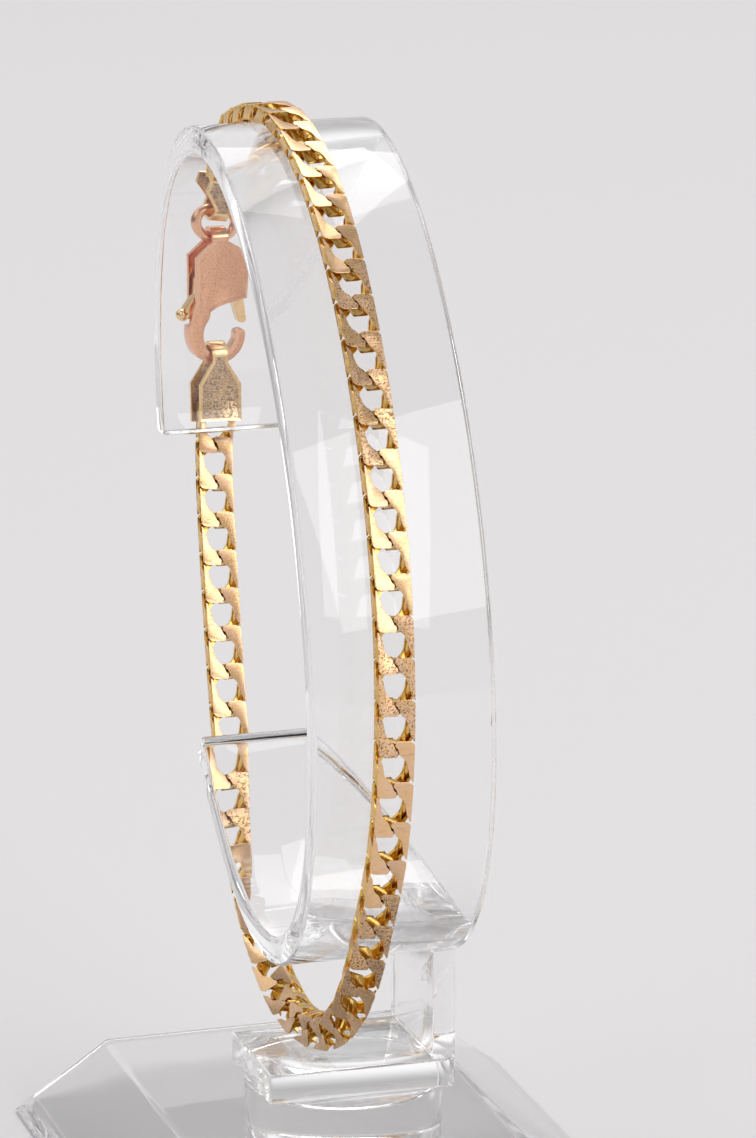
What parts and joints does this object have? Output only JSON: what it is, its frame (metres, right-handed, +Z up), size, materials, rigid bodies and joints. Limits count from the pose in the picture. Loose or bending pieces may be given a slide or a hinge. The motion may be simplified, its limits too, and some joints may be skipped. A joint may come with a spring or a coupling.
{
  "type": "curb link bracelet on a clear display stand",
  "caption": "Flat curb link bracelet with end tabs, a jump ring and a sprung hook clasp, hung on a clear C-shaped band above a clear bent riser.",
  "frame": {"origin": "bottom centre of the whole, on the feet of the riser", "axes": "+Z up, -Y towards the viewer, X across the display band"},
  "size_m": [0.0398, 0.0582, 0.0812],
  "materials": {
    "chain_gold": "worn yellow gold with filed flats",
    "clasp_gold": "brushed rose gold",
    "clear_acrylic": "clear polished acrylic"
  },
  "bodies": {
    "bracelet_and_stand": {"curb_chain": "chain_gold", "lower_tab": "chain_gold", "upper_tab": "chain_gold", "jump_ring": "clasp_gold", "clasp_body": "clasp_gold", "display_band": "clear_acrylic", "stand_post": "clear_acrylic", "stand_plate": "clear_acrylic", "stand_disc": "clear_acrylic", "riser": "clear_acrylic"},
    "lever": {"clasp_lever": "clasp_gold"}
  },
  "joints": [
    {"name": "clasp_lever_hinge", "type": "hinge", "parent": "bracelet_and_stand", "child": "lever", "pos_m": [-0.0024, 0.02815, 0.06529], "axis": [0, 1, 0], "range_deg": [0, 22], "stiffness_Nm_per_rad": 0.001, "springref_deg": -20.05}
  ]
}
